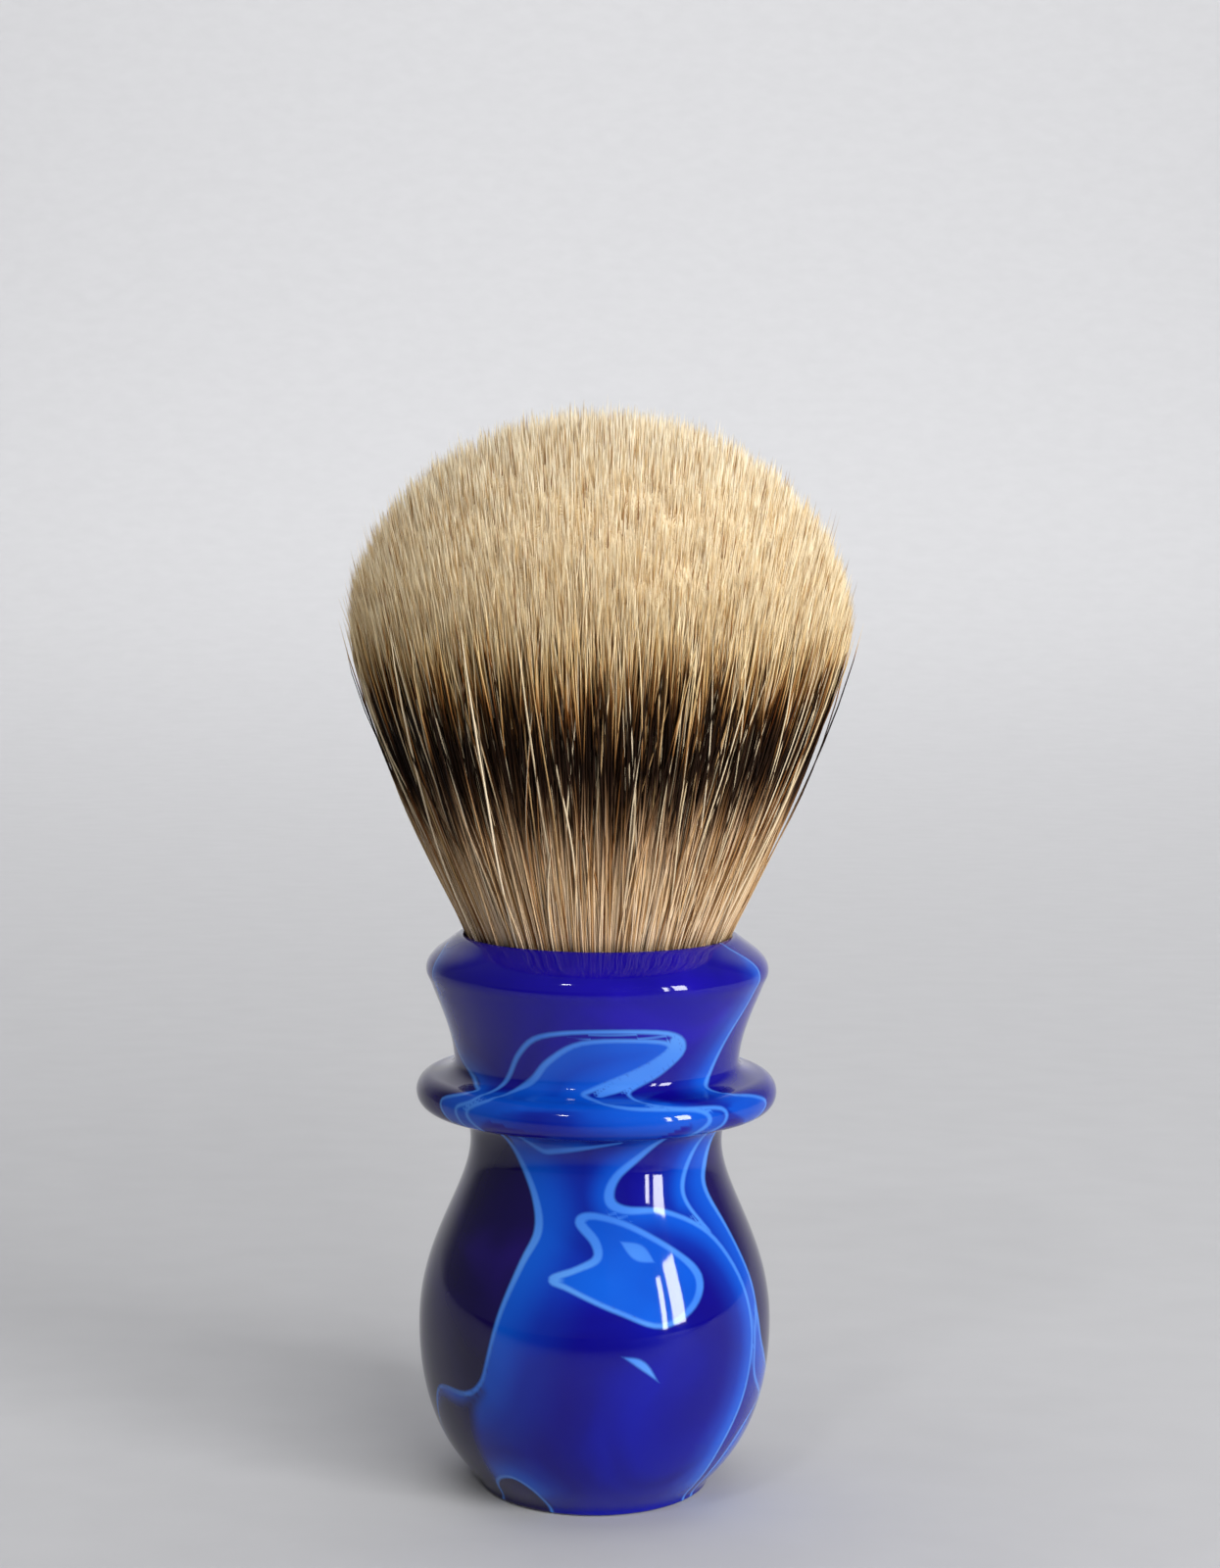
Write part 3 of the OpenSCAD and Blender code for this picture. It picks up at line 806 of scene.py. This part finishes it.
def band_rise(turn):
    """How far the top of the band is raised at this angle, about 1 in size."""
    return np.sin(band_waves * turn[:, None] + band_starts).sum(1) * 0.4


print("push on one tip:", np.round(tuft_push(np.array([0.01]), np.array([0.02])), 2))

# %% [markdown]
# ## One hair
# A real hair is 0.1 mm thick. At that size it would vanish in a picture of the whole brush, so each one is
# drawn 0.12 to 0.23 mm thick. It is a three-sided tube with a closed foot and a pointed tip, or a flat end
# where it is cut: few faces, because there are thousands. A piece's hairs are built at once as arrays.

# %% Centre lines
sides = 3
map_width = 0.006


def hair_lines(share, turn, low, high, levels, drift, wave, lean):
    """Centre lines of the hairs: an array of (hair, level, 3)."""
    t = levels[None, :]
    z = low[:, None] + (high - low)[:, None] * t
    climbed = np.maximum((z - mouth_z) / loft, 0)
    r = share[:, None] * fan_radius(z) + lean[:, None] * climbed ** 2
    phase = rng.uniform(0, 2 * math.pi, (len(share), 2))
    grown = np.clip(climbed * 4, 0, 1)
    sway = wave[:, None] * np.sin(6 * climbed + phase[:, :1]) * grown
    r = r + 0.6 * wave[:, None] * np.sin(7 * climbed + phase[:, 1:]) * grown
    a = turn[:, None] + drift[:, None] * climbed + sway / np.maximum(r, 2 * mm)
    x, y = r * np.sin(a), -r * np.cos(a)
    reach = share * bloom_r
    push = tuft_push(reach * np.sin(turn), -reach * np.cos(turn))[:, None, :] * tuft_strength
    push = push * (np.minimum(share * 4, 1)[:, None, None] * climbed[:, :, None] ** 2)
    return np.stack([x + push[..., 0], y + push[..., 1], z], -1)


def place_along(z, tip_z, low_shift, high_shift):
    """V of the hair's map: the dark band lies at its own two heights on each hair, and the tip is cream."""
    h = np.clip((z - mouth_z) / loft, 0, 1)
    tip = np.maximum((tip_z - mouth_z) / loft, 0.5)[:, None]
    start = (band_low + low_shift)[:, None]
    end = np.minimum((band_high + high_shift)[:, None], tip - 0.04)
    tip_v = 0.5 + 0.5 * tip
    shaft = h / start * band_low
    band = band_low + (h - start) / (end - start) * (band_high - band_low)
    over = band_high + (h - end) / np.maximum(tip - end, 0.02) * (tip_v - band_high)
    return np.where(h < start, shaft, np.where(h < end, band, over))


tuft_strength = 0.5 * mm
print("tips are pushed by about", tuft_strength / mm, "mm")

# %% Build many hairs as one mesh
def write_map(mesh, u, v):
    """Stores a map given at each face corner."""
    uv = np.stack([u, np.clip(v, 0.004, 0.996)], 1)
    mesh.uv_layers.new(name="OFBake").data.foreach_set("uv", uv.astype(np.float32).ravel())


def hair_piece(name, lines, thickness, tone, along, pointed):
    """Tubes along the lines. thickness and along are (hair, level); tone is one number for each hair."""
    n, levels = lines.shape[:2]
    run = np.gradient(lines, axis=1)
    run /= np.linalg.norm(run, axis=2, keepdims=True) + 1e-12
    side = np.cross(run, [0.0, 0.0, 1.0]) + np.array([1e-6, 0, 0])
    side /= np.linalg.norm(side, axis=2, keepdims=True)
    front = np.cross(side, run)
    spin = rng.uniform(0, 2 * math.pi, n)[:, None, None]
    rings = []
    for k in range(sides):
        a = spin + 2 * math.pi * k / sides
        rings.append(lines + thickness[:, :, None] / 2 * (np.cos(a) * side + np.sin(a) * front))
    rings = np.stack(rings, 2)
    ringed = levels - 1 if pointed else levels
    per_hair = ringed * sides + (1 if pointed else 0)
    body = rings[:, :ringed].reshape(n, ringed * sides, 3)
    points = np.concatenate([body, lines[:, -1:]], 1) if pointed else body
    quads = [(i * sides + k, i * sides + (k + 1) % sides, (i + 1) * sides + (k + 1) % sides,
              (i + 1) * sides + k) for i in range(ringed - 1) for k in range(sides)]
    last = (ringed - 1) * sides
    foot = [tuple(range(sides))[::-1]]
    if pointed:
        top = [(last + k, last + (k + 1) % sides, per_hair - 1) for k in range(sides)]
    else:
        top = [tuple(last + k for k in range(sides))]
    one_hair = quads + foot + top
    corners = np.array([c for f in one_hair for c in f])
    counts = np.array([len(f) for f in one_hair])
    all_corners = (np.arange(n)[:, None] * per_hair + corners[None, :]).ravel()
    all_counts = np.tile(counts, n)
    mesh = bpy.data.meshes.new(name)
    mesh.vertices.add(n * per_hair)
    mesh.vertices.foreach_set("co", points.reshape(-1).astype(np.float32))
    mesh.loops.add(len(all_corners))
    mesh.loops.foreach_set("vertex_index", all_corners.astype(np.int32))
    mesh.polygons.add(len(all_counts))
    starts = np.concatenate([[0], np.cumsum(all_counts)[:-1]])
    mesh.polygons.foreach_set("loop_start", starts.astype(np.int32))
    mesh.polygons.foreach_set("use_smooth", np.ones(len(all_counts), bool))
    mesh.update(calc_edges=True)
    v_of_point = np.repeat(along[:, :ringed], sides, axis=1)
    if pointed:
        v_of_point = np.concatenate([v_of_point, along[:, -1:]], 1)
    u_of_point = tone[:, None] + map_width * (np.arange(per_hair) % sides)[None, :] / sides
    write_map(mesh, u_of_point.ravel()[all_corners], v_of_point.ravel()[all_corners])
    piece = bpy.data.objects.new(name, mesh)
    bpy.context.collection.objects.link(piece)
    mesh.materials.append(hair_material)
    print(name, n, "hairs,", n * sum(c - 2 for c in counts), "triangles")
    return piece


def taper(lines, full, fine, length):
    """Thickness of each hair: full along the shaft, thinning to fine over the last length before the tip."""
    steps = np.linalg.norm(np.diff(lines, axis=1), axis=2)
    left = np.concatenate([np.cumsum(steps[:, ::-1], axis=1)[:, ::-1], np.zeros((len(lines), 1))], 1)
    return fine + (full[:, None] - fine) * np.clip(left / length, 0, 1) ** 0.6


# %% [markdown]
# ## The outside of the fan
# The hairs that show from the mouth to the widest line run the whole way. They are cut at the height where
# the first bending length ends, because a piece can bend across one joint only. Both halves share the same
# points at the cut, so it doesn't show. A few hairs in a hundred have come loose: they stray from the
# fan's outline. Hairs without a band drift more than the rest, so pale streaks cross the dark band. At
# the cut each half has one more ring of points, 0.02 mm from its end. Without it the smooth shading would
# turn towards the flat end over the whole last step, and the cut would show as a change of brightness.

# %% Long hairs
stray_share = 0.03
support = 0.02 * mm
tone_limit = 0.985
root_depth = 1.6 * mm
tip_width = 0.05 * mm


def long_hairs(label, count, share_low, share_high):
    tone = rng.uniform(0, tone_limit, count)
    is_stray = rng.uniform(0, 1, count) < stray_share
    looser = np.where(tone < pale_share, 1.7, 1.0) * np.where(is_stray, 2.2, 1.0)
    share = np.sqrt(rng.uniform(share_low ** 2, share_high ** 2, count))
    share = np.where(is_stray, share_high + rng.uniform(0, 0.03, count), share)
    turn = rng.uniform(0, 2 * math.pi, count)
    drift = rng.normal(0, math.radians(6.0), count) * looser
    wave = np.abs(rng.normal(0, 0.28 * mm, count)) * looser
    lean = rng.normal(0, 0.45 * mm, count)
    high = dome_height(np.minimum(share, 1)) + rng.normal(0, 0.9 * mm, count)
    low = np.full(count, mouth_z - root_depth)
    split = np.full(count, split_z)
    lower_levels = np.array([0, 0.27, 0.52, 0.77, 1 - support / (split_z - low[0]), 1])
    upper_levels = np.array([0, support / (top_z - split_z), 0.10, 0.20, 0.31, 0.45, 0.62, 0.82, 1])
    phase_state = rng.bit_generator.state
    lower = hair_lines(share, turn, low, split, lower_levels, drift, wave, lean)
    rng.bit_generator.state = phase_state
    upper = hair_lines(share, turn, split, high, upper_levels, drift, wave, lean)
    low_shift = np.clip(rng.normal(0, 0.042, count), -0.10, 0.08)
    high_shift = np.clip(rng.normal(0.01, 0.06, count) + 0.035 * band_rise(turn), -0.11, 0.22)
    full = np.where(tone < pale_share, rng.uniform(0.15, 0.23, count), rng.uniform(0.12, 0.20, count)) * mm
    thick_high = taper(upper, full, tip_width, 9 * mm)
    thick_low = np.repeat(thick_high[:, :1], len(lower_levels), axis=1)
    along_low = place_along(lower[:, :, 2], high, low_shift, high_shift)
    along_high = place_along(upper[:, :, 2], high, low_shift, high_shift)
    spin_state = rng.bit_generator.state
    first = hair_piece("hair_lower_" + label, lower, thick_low, tone, along_low, False)
    rng.bit_generator.state = spin_state
    second = hair_piece("hair_upper_" + label, upper, thick_high, tone, along_high, True)
    return first, second


for label, low_share, high_share, count in (("a", 0.955, 1.0, 4200), ("b", 0.90, 0.955, 3400),
                                            ("c", 0.80, 0.90, 2800)):
    first, second = long_hairs(label, count, low_share, high_share)
    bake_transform(first)
    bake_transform(second)

# %% [markdown]
# ## The dome of tips
# From above the widest line only the last few millimetres of each hair show, so those hairs are short
# tubes that start under the surface and end on the dome. They are spread evenly over the dome's area.

# %% Dome hairs
def dome_hairs(label, count, share_high):
    share = share_high * np.sqrt(rng.uniform(0, 1, count))
    turn = rng.uniform(0, 2 * math.pi, count)
    high = dome_height(share) + rng.normal(0, 0.5 * mm, count)
    low = high - rng.uniform(7, 11, count) * mm
    drift = rng.normal(0, math.radians(4), count)
    wave = np.abs(rng.normal(0, 0.3 * mm, count))
    lean = rng.normal(0, 0.35 * mm, count)
    lines = hair_lines(share, turn, low, high, np.array([0, 0.45, 0.8, 1.0]), drift, wave, lean)
    full = rng.uniform(0.12, 0.18, count) * mm
    thick = taper(lines, full, tip_width, 6 * mm)
    tone = rng.uniform(0, tone_limit, count)
    low_shift = np.zeros(count)
    high_shift = np.clip(rng.normal(0.01, 0.06, count) + 0.035 * band_rise(turn), -0.11, 0.22)
    along = np.maximum(place_along(lines[:, :, 2], high, low_shift, high_shift), band_high + 0.02)
    piece = hair_piece("hair_dome_" + label, lines, thick, tone, along, True)
    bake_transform(piece)


dome_count = 12000
dome_edge = 0.99
for label in ("a", "b"):
    dome_hairs(label, dome_count, dome_edge)

# %% [markdown]
# ## The mass of hair behind
# Between the hairs that are drawn, one sees more hair, never daylight. A turned body a little inside the
# surface stands for it. It is cut at the same height as the long hairs, and carries the same kind of map:
# V from the height, and a U that jumps from streak to streak, or on the dome from point to point. None of
# it is a pale hair, and its top lies 2.4 mm under the tips, so what shows between the hairs is darker. Its
# V is also held a little short of the tips' cream, as painted shade for the depth between the hairs.

# %% Inner mass
mass_top = top_z - 2.4 * mm
mass_inset = 1.3 * mm
mass_steps = 240
streak_degrees = 360 / mass_steps
speckled_above = 0.62


def inner_mass(name, low, high, node_name):
    levels = np.concatenate([[high, high - support], np.linspace(high, low, 28)[1:-1], [low + support, low]])
    outline = [(0.0, high / mm)]
    for z in levels:
        above = max(0.0, (z - bloom_z) / (mass_top - bloom_z))
        reach = bloom_r * math.sqrt(max(0.0, 1 - above ** 2))
        r = min(float(fan_radius(z)), reach) - mass_inset
        outline.append((max(r, 0.1 * mm) / mm, z / mm))
    outline.append((0.0, low / mm))
    piece = turned(name, outline, mass_steps)
    mesh = piece.data
    at = np.array([v.co for v in mesh.vertices])
    turn = np.degrees(np.arctan2(at[:, 0], -at[:, 1]))
    column = np.round(turn / streak_degrees).astype(int) % mass_steps
    h = (at[:, 2] - mouth_z) / loft
    speckle = np.random.default_rng(8).uniform(0.2, 0.98, len(at))
    by_column = np.random.default_rng(7).uniform(0.2, 0.98, mass_steps)
    streak = np.where(h > speckled_above, speckle, by_column[column])
    # Painted shade: V is held a little under the cream of the tips, so the mass reads darker, as the depth
    # would.
    height_v_painted_shade = np.interp(h, [0, band_low, band_high, 0.6, 1.0], [0, band_low, band_high, 0.74, 0.96])
    corner_vertex = np.zeros(len(mesh.loops), np.int64)
    mesh.loops.foreach_get("vertex_index", corner_vertex)
    write_map(mesh, streak[corner_vertex], height_v_painted_shade[corner_vertex])
    mesh.materials.append(hair_material)
    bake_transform(piece)
    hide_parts(node_name)
    print(name, len(mesh.polygons), "faces")


inner_mass("hair_mass_lower", mouth_z - 1 * mm, split_z, "hair_bend")
inner_mass("hair_mass_upper", split_z, mass_top, "hair_tuft")

roots, tree = new_material("bound_hair_roots")
place = add(tree, "TexCoord").outputs["Object"]
streaks = add(tree, "Mapping", {"Vector": place, "Scale": (1.0, 1.0, 0.06)})
strands = add(tree, "TexNoise", {"Vector": streaks.outputs[0], "Scale": 1 / (0.3 * mm), "Detail": 2.0})
tint = add(tree, "ValToRGB", {"Fac": strands.outputs["Fac"]}, [(0.3, "#8a6c48"), (0.7, "#c0a078")]).outputs[0]
finish_material(tree, Base_Color=tint, Roughness=0.5, IOR=1.55)
dress("hair_roots", roots)
